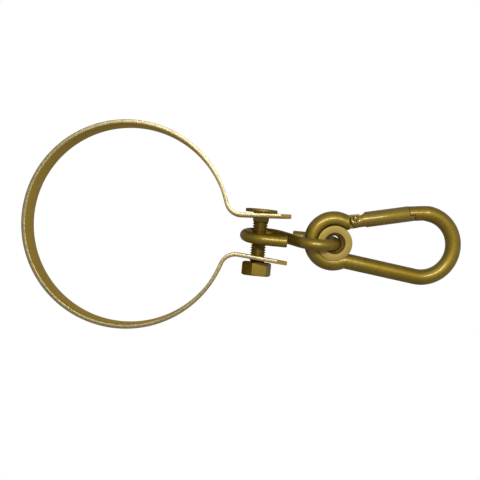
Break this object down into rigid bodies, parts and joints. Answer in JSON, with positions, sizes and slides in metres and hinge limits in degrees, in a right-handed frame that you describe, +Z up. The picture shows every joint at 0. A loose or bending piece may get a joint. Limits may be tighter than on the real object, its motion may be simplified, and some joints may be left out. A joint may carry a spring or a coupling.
{
  "type": "hanging clamp for a round beam",
  "caption": "Bent steel ring clamp for a round beam, closed by a carriage bolt and nut, with an S-hook on the bolt and a spring snap hook below it.",
  "frame": {"origin": "centre of the clamp ring, on the axis of the beam, at the middle of the strip's width", "axes": "+Z up with the hooks hanging along -Z, Y along the beam, X along the clamp bolt with its head at +X"},
  "size_m": [0.1052, 0.026, 0.2248],
  "materials": {
    "plated_strip": "yellow zinc plating, fine grain",
    "plated_fastener": "yellow zinc plating, satin",
    "plated_bar": "yellow zinc plating, satin to glossy",
    "plated_eyelet": "yellow zinc plating, matt",
    "spring_steel": "bright spring wire"
  },
  "bodies": {
    "clamp": {"clamp_band": "plated_strip"},
    "nut": {"hex_nut": "plated_fastener"},
    "bolt": {"carriage_bolt": "plated_fastener"},
    "double_hook": {"s_hook": "plated_bar"},
    "snap_hook": {"hook_body": "plated_bar", "gate_rivet": "plated_eyelet"},
    "eyelet_ring": {"eyelet": "plated_eyelet"},
    "gate_arm": {"gate": "plated_bar", "gate_spring": "spring_steel"},
    "plunger": {"spring_plunger": "spring_steel"}
  },
  "joints": [
    {"name": "nut_spin", "type": "hinge", "parent": "clamp", "child": "nut", "pos_m": [0, 0, -0.0675], "axis": [-1, 0, 0], "range_deg": [0, 900]},
    {"name": "bolt_travel", "type": "slide", "parent": "clamp", "child": "bolt", "axis": [1, 0, 0], "range_m": [0, 0.00313]},
    {"name": "s_hook_swing", "type": "hinge", "parent": "bolt", "child": "double_hook", "pos_m": [0, 0, -0.0675], "axis": [1, 0, 0], "range_deg": [-95, 95]},
    {"name": "snap_hook_swing", "type": "hinge", "parent": "double_hook", "child": "snap_hook", "pos_m": [0.0005, 0.00008, -0.10553], "axis": [0.0865, 0.9888, 0.1219], "range_deg": [-90, 90]},
    {"name": "eyelet_turn", "type": "hinge", "parent": "snap_hook", "child": "eyelet_ring", "pos_m": [0.0005, 0.00008, -0.10553], "axis": [0.0865, 0.9888, 0.1219], "continuous": true},
    {"name": "gate_open", "type": "hinge", "parent": "snap_hook", "child": "gate_arm", "pos_m": [0.01397, 0.00011, -0.11529], "axis": [0.0865, 0.9888, 0.1219], "range_deg": [0, 20], "stiffness_Nm_per_rad": 0.05, "springref_deg": -28.65, "deforming": ["gate_spring"]},
    {"name": "plunger_slide", "type": "slide", "parent": "gate_arm", "child": "plunger", "axis": [0.2243, 0.0999, -0.9694], "range_m": [0, 0.0007]}
  ],
  "couplings": [
    {"joint": "nut_spin", "follows": "bolt_travel", "rad_per_m": 5026.5},
    {"joint": "plunger_slide", "follows": "gate_open", "m_per_rad": 0.0017189}
  ]
}
